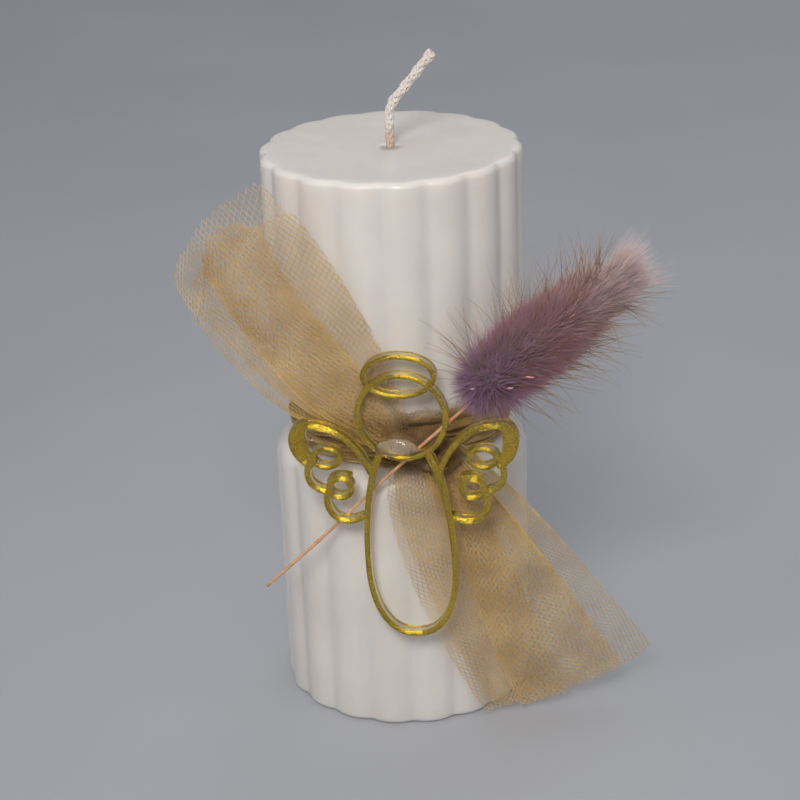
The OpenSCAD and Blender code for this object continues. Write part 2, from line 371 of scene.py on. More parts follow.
def wick_material():
    """Cotton braid, dipped in wax, with a tan foot."""
    wick = Shader("wick_cotton", Roughness=0.7, Subsurface_Weight=0.2,
                  Subsurface_Scale=0.6 * MM, Sheen_Weight=0.2)
    height = wick.node("ShaderNodeSeparateXYZ")
    wick.link(wick.place, height.inputs["Vector"])
    above = wick.math("SUBTRACT", height.outputs["Z"], CANDLE_H * MM)
    foot = wick.ramp(wick.math("MULTIPLY", above, 1 / (8 * MM)),
                     (0.3, (0.62, 0.43, 0.31)), (0.55, (0.78, 0.70, 0.66)))
    coat = wick.noise(900, 3)
    wick.colour(wick.mix(wick.math("MULTIPLY", coat, 0.55), foot, (0.60, 0.46, 0.34)))
    wick.bump(wick.noise(6000, 3, (1, 1, 0.4)), 0.12, 0.6)
    return wick.material


def net_material(name, light, dark):
    """Gold nylon thread: a slight gloss, patches of deeper dye, and painted shade that darkens it
    towards the knot.
    """
    net = Shader(name, Roughness=0.48, IOR=1.5, Sheen_Weight=0.2, Sheen_Roughness=0.4,
                 Subsurface_Weight=0.12, Subsurface_Scale=0.2 * MM)
    patches = net.noise(120, 3)
    body = net.ramp(patches, (0.35, dark), (0.65, light))
    # painted shade: the colour is multiplied darker the nearer it lies to the knot's centre
    away = net.node("ShaderNodeVectorMath", operation="DISTANCE")
    away.inputs[1].default_value = (KNOT_LOW + KNOT_HIGH) / 2 * MM
    net.link(net.place, away.inputs[0])
    shade_from_knot = net.math("ADD", net.math("MULTIPLY", away.outputs["Value"], 1 / (24 * MM)),
                     net.math("MULTIPLY", net.noise(420, 3), 0.5))
    gather = net.ramp(shade_from_knot, (0.42, (0.46, 0.38, 0.30)), (0.62, (0.78, 0.72, 0.62)),
                      (0.95, (1.0, 1.0, 1.0)))
    dyed = net.mix(net.attribute("tint"), body, dark)
    net.colour(net.mix(1.0, dyed, gather, "MULTIPLY"))
    net.bump(net.noise(9000, 2), 0.03, 0.5)
    return net.material


def angel_face_split(shader):
    """1 on the charm's front and back, 0 on its cut edges, from the surface's own direction."""
    facing = shader.node("ShaderNodeVectorMath", operation="DOT_PRODUCT")
    facing.inputs[1].default_value = CHARM.to_3x3() @ Vector((0, 0, 1))
    shader.link(shader.node("ShaderNodeTexCoord").outputs["Normal"], facing.inputs[0])
    return shader.math("GREATER_THAN", shader.math("ABSOLUTE", facing.outputs["Value"]), 0.6)


def acrylic_material():
    """Clear plate with a breath of yellow: polished faces, slightly ragged laser-cut edges."""
    plate = Shader("gold_acrylic", IOR=1.49, Transmission_Weight=1.0)
    face = angel_face_split(plate)
    ragged = plate.noise(2600, 3)
    edge = plate.ramp(ragged, (0.35, (0.98, 0.88, 0.50)), (0.65, (1.0, 0.97, 0.84)))
    plate.colour(plate.mix(face, edge, (1.0, 0.95, 0.70)))
    plate.roughness(face, 0.10, 0.015)
    plate.bump(plate.math("MULTIPLY", ragged, plate.math("SUBTRACT", 1.1, face)), 0.06, 0.5)
    return plate.material


def mirror_material():
    """Gold film behind the plate, crazed so that it glitters."""
    mirror = Shader("gold_mirror", Metallic=0.8)
    flake = mirror.noise(3000, 3, rough=0.6)
    mirror.colour(mirror.ramp(flake, (0.40, (0.78, 0.47, 0.005)), (0.5, (1.0, 0.73, 0.02)),
                              (0.60, (1.0, 0.86, 0.20))))
    mirror.roughness(flake, 0.10, 0.24)
    mirror.bump(mirror.noise(2300, 3), 0.12, 0.6)
    return mirror.material


def fur_material():
    """Dyed plume: purple at its foot, mauve in the middle, faded pink at its tip, with painted
    shade towards each hair's root.
    """
    fur = Shader("mauve_grass", Roughness=0.75, Sheen_Weight=0.3, Sheen_Roughness=0.5,
                 Subsurface_Weight=0.25, Subsurface_Scale=0.3 * MM)
    length = fur.ramp(fur.attribute("tint"), (0.0, (0.36, 0.21, 0.35)),
                      (0.3, (0.43, 0.21, 0.31)), (0.62, (0.58, 0.28, 0.31)),
                      (0.95, (0.86, 0.64, 0.60)))
    # painted shade: each hair darkens towards its root, deep in the plume, and lightens a little at
    # its tip
    root = fur.ramp(fur.attribute("along"), (0.0, (0.30, 0.24, 0.28)), (0.55, (0.9, 0.9, 0.9)),
                    (1.0, (1.15, 1.12, 1.12)))
    patches = fur.ramp(fur.noise(400, 3), (0.3, (0.74, 0.72, 0.76)), (0.7, (1.1, 1.08, 1.05)))
    fur.colour(fur.mix(1.0, fur.mix(1.0, length, root, "MULTIPLY"), patches, "MULTIPLY"))
    fur.bump(fur.noise(8000, 2), 0.02, 0.4)
    return fur.material


def awn_material():
    """Bristles: dark brown at the root, straw at the tip."""
    awn = Shader("awn_brown", Roughness=0.5, Subsurface_Weight=0.1, Subsurface_Scale=0.2 * MM)
    body = awn.ramp(awn.attribute("along"), (0.0, (0.16, 0.07, 0.05)),
                    (0.5, (0.24, 0.125, 0.065)), (1.0, (0.36, 0.22, 0.12)))
    awn.colour(awn.mix(awn.math("MULTIPLY", awn.attribute("tint"), 0.35), body, (0.60, 0.42, 0.27)))
    awn.bump(awn.noise(9000, 2), 0.02, 0.4)
    return awn.material


def seed_material():
    """Husks: pink and slightly polished."""
    seed = Shader("seed_pink", Coat_Weight=0.3, Coat_Roughness=0.25)
    seed.colour(seed.ramp(seed.noise(1500, 2), (0.35, (0.50, 0.17, 0.14)),
                          (0.7, (0.80, 0.42, 0.36))))
    seed.roughness(seed.noise(3000, 2), 0.25, 0.45)
    seed.bump(seed.noise(5000, 2), 0.05, 0.5)
    return seed.material


def stem_material():
    """Straw with a fine grain along it."""
    stem = Shader("straw_stem", Subsurface_Weight=0.15, Subsurface_Scale=0.4 * MM,
                  Coat_Weight=0.15, Coat_Roughness=0.3)
    stem.colour(stem.ramp(stem.noise(500, 3), (0.3, (0.56, 0.28, 0.13)),
                          (0.7, (0.74, 0.42, 0.22))))
    stem.roughness(stem.noise(900, 2), 0.35, 0.55)
    stem.bump(stem.noise(7000, 2, (0.25, 1, 0.25)), 0.04, 0.5)
    return stem.material


def glue_material():
    """Hot glue: clear with a faint honey cloud, very glossy."""
    glue = Shader("clear_glue", Transmission_Weight=0.82, IOR=1.36, Roughness=0.05)
    glue.colour(glue.ramp(glue.noise(600, 3), (0.35, (0.95, 0.76, 0.52)),
                          (0.7, (1.0, 0.90, 0.72))))
    glue.bump(glue.noise(420, 2), 0.25, 0.5)
    return glue.material


# ---- wax ----

# points across a rib, and steps along each stretch of the half section
RIB_COLUMNS = 16
RIM_STEPS = 6
WALL_STEPS = 24
SHOULDER_STEPS = 14
TOP_STEPS = 12
# wax fills the valley between two ribs to this depth and over this angle
VALLEY_FILL = 0.12
VALLEY_WIDTH = math.radians(1.4)


def rib_radius(angle, turn):
    """Distance from the axis to the ribbed wall at an angle from the front."""
    valley = CANDLE_R - RIB_DEPTH
    half = math.pi / RIB_COUNT
    centre = (CANDLE_R**2 - valley**2) / (2 * (CANDLE_R - valley * math.cos(half)))
    rib = CANDLE_R - centre
    away = (angle - turn) % (2 * half) - half
    wall = centre * math.cos(away) + math.sqrt(rib**2 - (centre * math.sin(away)) ** 2)
    crease = (half - abs(away)) / VALLEY_WIDTH
    return wall + VALLEY_FILL * math.exp(-crease * crease)


def soft_min(a, b, blend):
    """The smaller of two sizes, with the corner between them rounded off."""
    if abs(a - b) > blend:
        return min(a, b)
    return (a + b) / 2 - (blend**2 + (a - b) ** 2) / (4 * blend)


def arc_points(centre, radius, start, end, steps):
    """Points on an arc of the half section, angles in degrees; its first point is left out."""
    return [
        (centre[0] + radius * math.cos(math.radians(start + (end - start) * i / steps)),
         centre[1] + radius * math.sin(math.radians(start + (end - start) * i / steps)))
        for i in range(1, steps + 1)
    ]


def wax_section():
    """The wax's half section, from the bore at the base out, up and back to the bore."""
    bore = WICK_R + 0.05
    low, high = WAIST_Z - WAIST_HALF, WAIST_Z + WAIST_HALF
    wall, top = CANDLE_R - RIM_R, CANDLE_H - RIM_R
    lower_end, upper_start = low - WAIST_DEPTH, high + WAIST_DEPTH

    def wall_points(start, end):
        return [(CANDLE_R, start + (end - start) * i / WALL_STEPS)
                for i in range(1, WALL_STEPS + 1)]

    points = [(bore, 0), (8, 0), (16, 0), (wall, 0)]
    points += arc_points((wall, RIM_R), RIM_R, -90, 0, RIM_STEPS)
    points += wall_points(RIM_R, lower_end)
    points += arc_points((WAIST_R, lower_end), WAIST_DEPTH, 0, 90, SHOULDER_STEPS)
    points += [(WAIST_R, low + (high - low) * i / 4) for i in range(1, 5)]
    points += arc_points((WAIST_R, upper_start), WAIST_DEPTH, -90, 0, SHOULDER_STEPS)
    points += wall_points(upper_start, top)
    points += arc_points((wall, top), RIM_R, 0, 90, RIM_STEPS)
    shares = [i / TOP_STEPS for i in range(1, TOP_STEPS + 1)]
    points += [(wall * (1 - share) + bore * share, CANDLE_H) for share in shares]
    return points


def wax_skin(place):
    """How far the uneven cast skin stands off the plain shape."""
    return noise.noise(place * 0.09) * 0.10 + noise.noise(place * 0.4) * 0.035 - 0.07


def top_sink(r, place):
    """How far the top sinks towards the wick, less the small rise at the wick's foot."""
    inside = 1 - r / (CANDLE_R - RIM_R)
    dish = 0.25 * smoothstep(0, 0.5, inside) - 0.15 * smoothstep(0.85, 1, inside)
    return dish + 0.06 * (1 + noise.noise(place * 0.25)) * smoothstep(0, 0.1, inside)


def add_wax():
    """The pillar as one closed loft: ribs above and below the waist, soft rims, uneven skin."""
    section = wax_section()
    columns = RIB_COUNT * RIB_COLUMNS
    points = []
    for r, z in section:
        turn = UPPER_RIB_TURN if z > WAIST_Z else LOWER_RIB_TURN
        for k in range(columns):
            angle = math.tau * k / columns
            wall = rib_radius(angle, turn)
            if z <= RIM_R or z >= CANDLE_H - RIM_R:
                # the ribs run over both rims and fade towards the axis
                radius = r - (CANDLE_R - wall) * min(r / (CANDLE_R - RIM_R), 1) ** 5
            else:
                radius = soft_min(r, wall, 0.06)
            place = ring_point(radius, angle, z)
            if r > 2:
                radius += wax_skin(place)
            sink = top_sink(r, place) if z >= CANDLE_H - 0.01 else 0.0
            points.append(ring_point(radius, angle, z - sink))
    faces = []
    rows = len(section)
    for i in range(rows):
        for k in range(columns):
            a, b = i * columns + k, i * columns + (k + 1) % columns
            c = (i + 1) % rows * columns
            faces.append((a, b, c + (k + 1) % columns, c + k))
    make_object("wax_pillar", points, faces, wax_material(), ["candle_body"])


# ---- wick ----

# the braid starts under the wax's top; below that only the core goes on
YARN_R = 0.36
BRAID_R = 0.60
BRAID_CORE_R = 0.62
BRAID_PITCH = 7.5
BRAID_START = -3


def wick_path(distance):
    """Place and direction on the wick's own line, by distance above the wax."""
    bend = WICK_BEND_R * WICK_LEAN
    if distance < WICK_RISE:
        return Vector((0, 0, CANDLE_H + distance)), 0.0
    lean = min((distance - WICK_RISE) / WICK_BEND_R, WICK_LEAN)
    place = Vector((WICK_BEND_R * (1 - math.cos(lean)), 0,
                    CANDLE_H + WICK_RISE + WICK_BEND_R * math.sin(lean)))
    past = max(distance - WICK_RISE - bend, 0)
    return place + past * Vector((math.sin(WICK_LEAN), 0, math.cos(WICK_LEAN))), lean


def add_wick():
    """Eight yarns plaited over and under round a core, flared at the cut tip."""
    strands = Strands(7)
    whole = WICK_RISE + WICK_BEND_R * WICK_LEAN + WICK_TIP - 0.1
    core_end = whole - 0.2
    steps, core_steps = 110, 40

    def ring_place(distance, turn, radius):
        centre, lean = wick_path(distance)
        wobble = Vector((0, noise.noise(Vector((distance * 0.35, 3, 0))) * 0.25, 0))
        across = Vector((math.cos(lean), 0, -math.sin(lean)))
        return centre + wobble + radius * (
            math.cos(turn) * across + math.sin(turn) * Vector((0, 1, 0)))

    def width(distance):
        flare = 0.16 * smoothstep(whole - 2.2, whole, distance)
        foot = -0.18 * (1 - smoothstep(1.5, 4, distance))
        return 1 + flare + foot + 0.07 * noise.noise(Vector((distance * 0.5, 0, 5)))

    for hand in (-1, 1):
        for yarn in range(4):
            path, radii = [], []
            for i in range(steps + 1):
                distance = BRAID_START + (whole - BRAID_START) * i / steps
                turns = math.tau * distance / BRAID_PITCH
                turn = hand * turns + yarn * math.tau / 4 + hand * 0.4
                weave = math.sin(turns * 4 + yarn * math.pi + hand)
                wide = width(distance)
                path.append(ring_place(distance, turn, (BRAID_R + 0.09 * weave) * wide))
                radii.append(YARN_R * wide)
            strands.add_bent(path, radii, yarn / 4)
    core = [Vector((0, 0, z)) for z in (0.2, CANDLE_H / 2, CANDLE_H + BRAID_START)]
    for i in range(1, core_steps + 1):
        distance = BRAID_START + (core_end - BRAID_START) * i / core_steps
        core.append(ring_place(distance, 0, 0))
    strands.add_bent(core, [BRAID_CORE_R] * len(core), 0.5)
    strands.build("wick_braid", wick_material(), ["wick"])


# ---- net ----

# threads shorter than this have been drawn together at the knot and are left out
SHORTEST_THREAD = 0.02
FRINGE_CELL = (0.9, 1.3)
WRAP_CELL = (1.2, 1.7)
WRAP_THREAD = 0.078
KNOT_CELL = (0.8, 1.2)


def lay_net(strands, surface, width, length, cell, thread, turn=0.0, tint=0.0):
    """A diamond net cut to width by length, laid on surface(across, along), both 0 to 1."""
    lean = math.radians(turn)
    spare = 0.6 * cell[0]
    axes = []
    for sign in (1, -1):
        x, y = sign * cell[0] / 2, cell[1] / 2
        axes.append((x * math.cos(lean) - y * math.sin(lean),
                     x * math.sin(lean) + y * math.cos(lean)))
    reach = int((width / cell[0] + length / cell[1]) * 1.2) + 3
    nodes = {}

    def flat(i, j):
        return (i * axes[0][0] + j * axes[1][0] + width / 2, i * axes[0][1] + j * axes[1][1])

    def node(i, j):
        if (i, j) not in nodes:
            x, y = flat(i, j)
            nodes[i, j] = surface(min(max(x / width, 0), 1), min(max(y / length, 0), 1))
        return nodes[i, j]

    def inside(place, margin=0.0):
        return -margin <= place[0] <= width + margin and 0 <= place[1] <= length

    for i in range(-reach, reach):
        for j in range(-reach, reach):
            here = flat(i, j)
            if not inside(here, spare):
                continue
            for di, dj in ((1, 0), (0, 1)):
                there = flat(i + di, j + dj)
                if not inside(there, spare) or not (inside(here) or inside(there)):
                    continue
                a, b = node(i, j), node(i + di, j + dj)
                if (b - a).length > SHORTEST_THREAD:
                    strands.add([a, b], [thread, thread], tint)


def flattened_tube(sheet, depth):
    """A surface that goes across a sheet and back behind it, like a strip folded lengthwise."""

    def at(across, along):
        turn = math.tau * across
        flat = 0.5 - 0.5 * math.cos(turn)
        even = across * 2 if across < 0.5 else 2 - across * 2
        s = 0.25 * flat + 0.75 * even
        return sheet(s, along, depth * math.sin(turn))

    return at


def pleat(s, t, pleats, swing, phase, still):
    """How far a tail's folds stand out: broad ones at its free end, fine ones at the knot."""
    broad = swing * math.sin(math.tau * pleats * s + phase) * (still + (1 - still) * t)
    fine = 0.45 * (1 - t) ** 2 * math.sin(math.tau * 6 * s + 3 * phase + 4 * t)
    gather = 0.8 * (1 - t) ** 3
    return broad + fine + gather


def upper_tail_place(point, forward):
    """From (x, height above the waist) to the world; the tail's foot dips into the groove."""
    turned = Matrix.Rotation(UPPER_TAIL_TURN, 3, "Z")
    dive = 3.4 * (1 - smoothstep(2.5, 10.5, point.y))
    return turned @ Vector((point.x, -TAIL_R - forward + dive, WAIST_Z + point.y))


def fringe_sheet(rise):
    """Loose folds that hide the groove and creep up the wax's shoulder, right of the knot."""

    def at(s, t):
        turn = math.radians(54 * s - 3)
        ruffle = noise.noise(Vector((9 * s, 1.5 * t, rise)))
        up = (rise * (1 + 0.3 * ruffle) + 1.5) * t - 1.5
        inside = WAIST_DEPTH - min(max(up, 0), WAIST_DEPTH)
        radius = WAIST_R + math.sqrt(WAIST_DEPTH**2 - inside**2) + 0.45 + 0.2 * ruffle
        radius = max(radius, WRAP_R + 0.25)
        return ring_point(radius, turn, WAIST_Z + WAIST_HALF + up)

    return at


def upper_tail_sheet(patch, base, pleats, swing, phase):
    """A patch of the upper tail, pleated towards the knot and floating free at its end."""

    def at(s, t, extra=0.0):
        point = patch(s ** (1 + 1.1 * (1 - t) ** 2), t)
        lift = 1.6 * smoothstep(20, 40, -point.x) * math.sin(2.2 * t + phase)
        folds = pleat(s, t, pleats, swing, phase, 0.25)
        return upper_tail_place(point, base + folds + lift + extra * (0.3 + t))

    return at


def add_upper_tail(material):
    """Two open layers, a folded dense one, a fringe over the groove and one loose thread."""
    strands = Strands(3)
    whole = coons(
        bezier((-1, 1), (1, 2.5), (3, 4), (5.2, 5.5)),
        bezier((-38.8, 37), (-36.5, 46), (-29, 53), (-21.1, 55.9)),
        bezier((-1, 1), (-18, 4), (-32, 20), (-38.8, 37)),
        bezier((5.2, 5.5), (4.4, 18), (-4, 36), (-21.1, 55.9)),
    )
    middle = coons(
        bezier((-0.5, 2), (0.5, 2.5), (2, 3.5), (3, 4.5)),
        bezier((-36.3, 31.5), (-36, 42), (-27, 48), (-15.2, 50.2)),
        bezier((-0.5, 2), (-14, 7), (-26, 19), (-36.3, 31.5)),
        bezier((4, 5), (3, 18), (-3, 34), (-15.2, 50.2)),
    )
    dense = coons(
        bezier((0, 2.5), (1, 3), (2, 3.5), (3, 4.5)),
        bezier((-32.8, 38), (-33.5, 48), (-28, 49.5), (-21.5, 47.5)),
        bezier((0, 2.5), (-16, 8), (-25, 24), (-32.8, 38)),
        bezier((3, 4.5), (0, 21), (-14.5, 27), (-21.5, 47.5)),
    )
    lay_net(strands, upper_tail_sheet(whole, 0.25, 3, 0.35, 0.4), 27, 56, CELL, THREAD, -24)
    lay_net(strands, upper_tail_sheet(middle, 0.7, 2.5, 0.3, 2.0), 29, 54, CELL, THREAD, -12, 0.6)
    folded = flattened_tube(upper_tail_sheet(dense, 1.2, 2, 0.25, 4.1), 0.35)
    lay_net(strands, folded, 31, 51, CELL, THREAD, -14, 0.2)
    for rise, lean in ((1.0, 12), (2.0, -17), (3.1, 31), (4.0, -8), (5.2, 20)):
        lay_net(strands, fringe_sheet(rise), 23, 1.5 * rise + 2, FRINGE_CELL, THREAD, lean, 0.3)
    loose = ((-32.2, 40.3), (-33, 35), (-34.8, 27.6))
    strands.add([upper_tail_place(Vector(point), 2.0) for point in loose], [0.1, 0.09, 0.07])
    piece = strands.build("net_tail_upper", material, ["tulle_tail_upper"])


def lower_tail_place(point, forward):
    """From (distance along the tail's plan, height) to the world: round the wax, then straight."""
    dive = 3.2 * smoothstep(-9.5, -2, point.y - WAIST_Z)
    radius = TAIL_R + forward - dive
    arc = TAIL_R * LOWER_TAIL_TURN
    turn = min(point.x / TAIL_R, LOWER_TAIL_TURN)
    outward = Vector((math.sin(turn), -math.cos(turn), 0))
    ahead = Vector((math.cos(turn), math.sin(turn), 0))
    place = outward * radius + ahead * max(point.x - arc, 0)
    return Vector((place.x, place.y, point.y))


def lower_tail_sheet(patch, base, pleats, swing, phase):
    """A patch of the lower tail, pleated towards the knot and spread at its end."""

    def at(s, t, extra=0.0):
        point = patch(1 - (1 - s) ** (1 + 0.9 * (1 - t) ** 2), t)
        folds = pleat(s, t, pleats, swing, phase, 0.15)
        return lower_tail_place(point, base + folds + extra * (0.3 + t))

    return at


def add_lower_tail(material):
    """Two open layers and a folded dense one, hanging over the wax to the lower right."""
    strands = Strands(3)
    whole = coons(
        bezier((-3, 59), (2, 60), (7, 61), (12, 61.5)),
        bezier((15.5, 1.2), (28, 1.0), (42, 5), (52.4, 9.6)),
        bezier((-3, 59), (-4.5, 44), (4, 22), (15.5, 1.2)),
        bezier((12, 61.5), (24, 52), (42, 24), (52.4, 9.6)),
    )
    veil = coons(
        bezier((-2, 58.5), (1, 59.5), (5, 60.5), (8, 61)),
        bezier((17.8, 2.2), (22, 2), (28, 2.5), (33, 3.4)),
        bezier((-2, 58.5), (-1.5, 44), (6, 22), (17.8, 2.2)),
        bezier((8, 61), (16, 50), (26, 22), (33, 3.4)),
    )
    front = coons(
        bezier((3, 58.5), (5, 59.5), (7.5, 60.5), (10, 61)),
        bezier((23, 1.6), (30, 2), (38, 4.6), (45.1, 7.2)),
        bezier((3, 58.5), (9, 46), (14, 22), (23, 1.6)),
        bezier((10, 61), (21, 49), (36, 22), (45.1, 7.2)),
    )
    lay_net(strands, lower_tail_sheet(whole, 0.5, 3.5, 0.55, 1.2), 38, 62, CELL, THREAD, -20)
    lay_net(strands, lower_tail_sheet(veil, 1.0, 2.5, 0.45, 4.2), 26, 58, CELL, THREAD, 33, 0.3)
    folded = flattened_tube(lower_tail_sheet(front, 1.9, 2, 0.4, 3.0), 0.5)
    lay_net(strands, folded, 42, 60, CELL, THREAD, 17, 0.2)
    piece = strands.build("net_tail_lower", material, ["tulle_tail_lower"])


def wrap_place(across, around):
    """The gathered strip in the groove: folds that run round the waist and wander a little."""
    turn = math.tau * around
    folds = 8
    circle = Vector((math.cos(turn), math.sin(turn), 0))
    wander = noise.noise(circle * 1.6 + Vector((0, 0, across * 5)))
    cross = noise.noise(circle * 3.1 + Vector((0, 3, across * 2)))
    fold = 0.5 - 0.5 * math.cos(math.tau * (folds * across + 1.3 * wander + 0.5 * cross))
    deep = 0.72 + 0.28 * noise.noise(circle * 2.3 + Vector((5, 1, across * 9)))
    belly = 1 - (2 * across - 1) ** 2
    low = WAIST_R + 0.35
    radius = low + (WRAP_R - low - 0.1) * fold * deep * (0.45 + 0.55 * belly)
    height = WAIST_Z + (2 * across - 1) * (WAIST_HALF - 0.25) + 0.45 * wander * belly
    return ring_point(radius, turn, height)


def add_wrap(material):
    """Net threads over a folded inner layer that is too dense to see through, coloured dark as
    painted shade in the groove.
    """
    strands = Strands(3)
    around, across = 240, 72
    for i in range(around):
        for j in range(across + 1):
            place = wrap_place(j / across, i / around)
            outward = Vector((place.x, place.y, 0)).normalized()
            strands.points.append(place - 0.12 * outward)
            # the inner layer takes the darkest colour: painted shade in the waist groove
            strands.mark(1, 1.0, 0.0)
    for i in range(around):
        for j in range(across):
            a = i * (across + 1) + j
            b = (i + 1) % around * (across + 1) + j
            strands.faces.append((a, b, b + 1, a + 1))
    lay_net(strands, wrap_place, 62, 145, WRAP_CELL, WRAP_THREAD, 3)
    return strands.build("net_waist_wrap", material, ["tulle_waist_wrap"])


def knot_surface(grow=0.0):
    """A spindle lying across the waist, creased where it was pulled tight."""
    middle = (KNOT_LOW + KNOT_HIGH) / 2
    centre = Vector((middle.x, KNOT_LOW.y + 3.4, middle.z - 1.1))
    half = (KNOT_HIGH.x - KNOT_LOW.x) / 2
    slant = Matrix.Rotation(math.radians(12), 3, "Y")

    def at(along, around):
        turn = math.tau * around
        u = 2 * along - 1
        thick = 2.7 * math.sqrt(max(1 - abs(u) ** 2.4, 0)) + 0.25
        crease = 0.34 * math.sin(9 * turn + 5 * u) + 0.28 * math.sin(4 * turn - 9 * u + 1)
        lump = noise.noise(Vector((u * 3.2, 1.6 * math.cos(turn), 1.6 * math.sin(turn)))) * 0.9
        radius = thick + (crease + lump) * (1 - u * u) + grow
        local = Vector((u * half * 1.06, -radius * 0.95 * math.cos(turn), radius * math.sin(turn)))
        return centre + slant @ local

    return at


def add_knot(material):
    """Three layers of net over a creased core, the core and the inner layers darker as painted
    shade.
    """
    strands = Strands(3)
    along, around = 40, 64
    core = knot_surface()
    for i in range(along + 1):
        strands.points.extend(core(i / along, j / around) for j in range(around))
        # the core takes the darkest colour: painted shade inside the knot
        strands.mark(around, 1.0, 0.0)
    strands.faces.extend(ring_faces(along, around, along_first=True))
    # the inner layers take darker colours than the outer one: painted shade between the layers
    for grow, lean, tint in ((0.12, 8, 0.7), (0.3, -14, 0.35), (0.55, 31, 0.0)):
        lay_net(strands, knot_surface(grow), 20, 24, KNOT_CELL, THREAD, lean, tint)
    return strands.build("net_knot", material, ["tulle_knot"])


# ---- grass ----

# some hairs and bristles drawn here are left out later, where they stand too far forward
PLUME_R = 8.8
PLUME_WIDEST = 0.29
HAIR_COUNT = 16500
HAIR_RADII = (0.042, 0.034, 0.006)
BRISTLE_COUNT = 760
BRISTLE_STEPS = 7


def flower_frame():
    """Along the flower head, out towards its upper left, and towards the viewer."""
    return CHARM @ Matrix.Translation(FLOWER_BASE) @ Matrix.Rotation(FLOWER_SLOPE, 4, "Z")


def plume_radius(t):
    """Half the plume's width at a share of its length: a blunt foot and a long taper."""
    if t < PLUME_WIDEST:
        s, power = 1 - t / PLUME_WIDEST, 2.3
    else:
        s, power = (t - PLUME_WIDEST) / (1 - PLUME_WIDEST), 1.62
    return PLUME_R * max(1 - s**power, 0) ** (1 / power)


def on_spike(t, start=0.06):
    """A place on the flower head's axis, by the share of the plume's length."""
    return Vector((FLOWER_LEN * (start + 0.86 * t), 0, 0))


def plume_side(turn):
    """A direction out of the plume, which is a little flattened towards the viewer."""
    return Vector((0, math.cos(turn), 0.82 * math.sin(turn)))


def placed_hair(base, path):
    """A hair in the world, or nothing where it would poke out in front of the object."""
    placed = [base @ point for point in path]
    return placed if min(point.y for point in placed) > FRONT_LIMIT else None


def add_fur():
    """Fine hairs that grow out of the spike and forward to the plume's outline."""
    strands = Strands(3)
    base = flower_frame()
    for _ in range(HAIR_COUNT):
        t = random.random() ** 0.98 * 0.94
        out = plume_side(random.random() * math.tau)
        # at the foot the hairs stand out and bend back, at the tip they lie forward in tufts
        foot = 1 - smoothstep(0.02, 0.2, t)
        tip = smoothstep(0.55, 0.95, t)
        deep = 0.5 - 0.4 * tip * random.random()
        root = on_spike(t, 0.05) + out * plume_radius(t) * deep
        lift = math.radians(54 + 92 * foot - 8 * smoothstep(0.2, 0.5, t) - 34 * tip)
        lift += random.gauss(0, 0.2 + 0.3 * foot - 0.06 * tip)
        tuft = tip * noise.noise(2.8 * out + Vector((7 * t, 0, 0)))
        lift += 0.7 * tuft
        length = (3.9 + 0.12 * plume_radius(t) + 3.6 * tip) * random.uniform(0.55, 1.2)
        length *= 1 + 0.6 * tuft
        side = out.cross(Vector((1, 0, 0))) * random.gauss(0, 0.3 + 0.4 * foot)
        path = [root]
        for bend in (0.0, 0.16):
            step = Vector((math.cos(lift - bend), 0, 0)) + out * math.sin(lift - bend) + side
            path.append(path[-1] + step.normalized() * length / 2)
        tint = min(max(path[-1].x / FLOWER_LEN + random.gauss(0, 0.06), 0), 1)
        placed = placed_hair(base, path)
        if placed:
            strands.add(placed, HAIR_RADII, tint)
    strands.build("bunny_tail_fur", fur_material(), ["bunny_tail_head"])


def add_spike():
    """The spike of seeds inside the plume, its colour darkened by painted shade."""
    base = flower_frame()
    points = []
    rows, columns = 60, 40
    for i in range(rows + 1):
        t = i / rows
        for k in range(columns):
            turn = math.tau * k / columns
            husk = math.sin(60 * t + 4 * turn) * math.sin(60 * t - 4 * turn)
            radius = (0.53 + 0.05 * husk) * plume_radius(0.02 + 0.95 * t)
            points.append(base @ (on_spike(t) + plume_side(turn) * radius))
    faces = ring_faces(rows, columns, along_first=True)
    faces.append(tuple(range(columns)))
    faces.append(tuple(range((rows + 1) * columns - 1, rows * columns - 1, -1)))
    piece = make_object("bunny_tail_spike", points, faces, fur_material())
    set_attribute(piece, "tint", [(i // columns) / rows for i in range(len(points))])
    # the spike takes the painted root shade that a hair has a quarter of its length out
    set_attribute(piece, "along", [0.25] * len(points))


def add_awns():
    """Long brown bristles that stand out of the plume on all sides."""
    strands = Strands(4)
    base = flower_frame()
    for _ in range(BRISTLE_COUNT):
        t = random.random() ** 0.85 * 0.86
        out = plume_side(random.random() * math.tau)
        lift = math.radians(104 - 50 * smoothstep(0, 0.22, t) - 12 * t) + random.gauss(0, 0.2)
        # bristles that point at the viewer or the wax are shorter, so they stay clear of both
        length = random.uniform(7.5, 16.5) * (1 - 0.22 * t) * (1 - 0.6 * abs(out.z) ** 1.5)
        path = [on_spike(t) + out * plume_radius(t) * 0.5]
        bend = random.gauss(0.01, 0.05)
        drift = out.cross(Vector((1, 0, 0))) * random.gauss(0, 0.2)
        for _ in range(BRISTLE_STEPS):
            lift += bend
            step = Vector((math.cos(lift), 0, 0)) + out * math.sin(lift) + drift
            path.append(path[-1] + step.normalized() * length / BRISTLE_STEPS)
        radii = [0.078 - 0.054 * i / BRISTLE_STEPS for i in range(BRISTLE_STEPS + 1)]
        tint = random.random()
        placed = placed_hair(base, path)
        if placed:
            strands.add(placed, radii, tint)
    strands.build("bunny_tail_awns", awn_material())


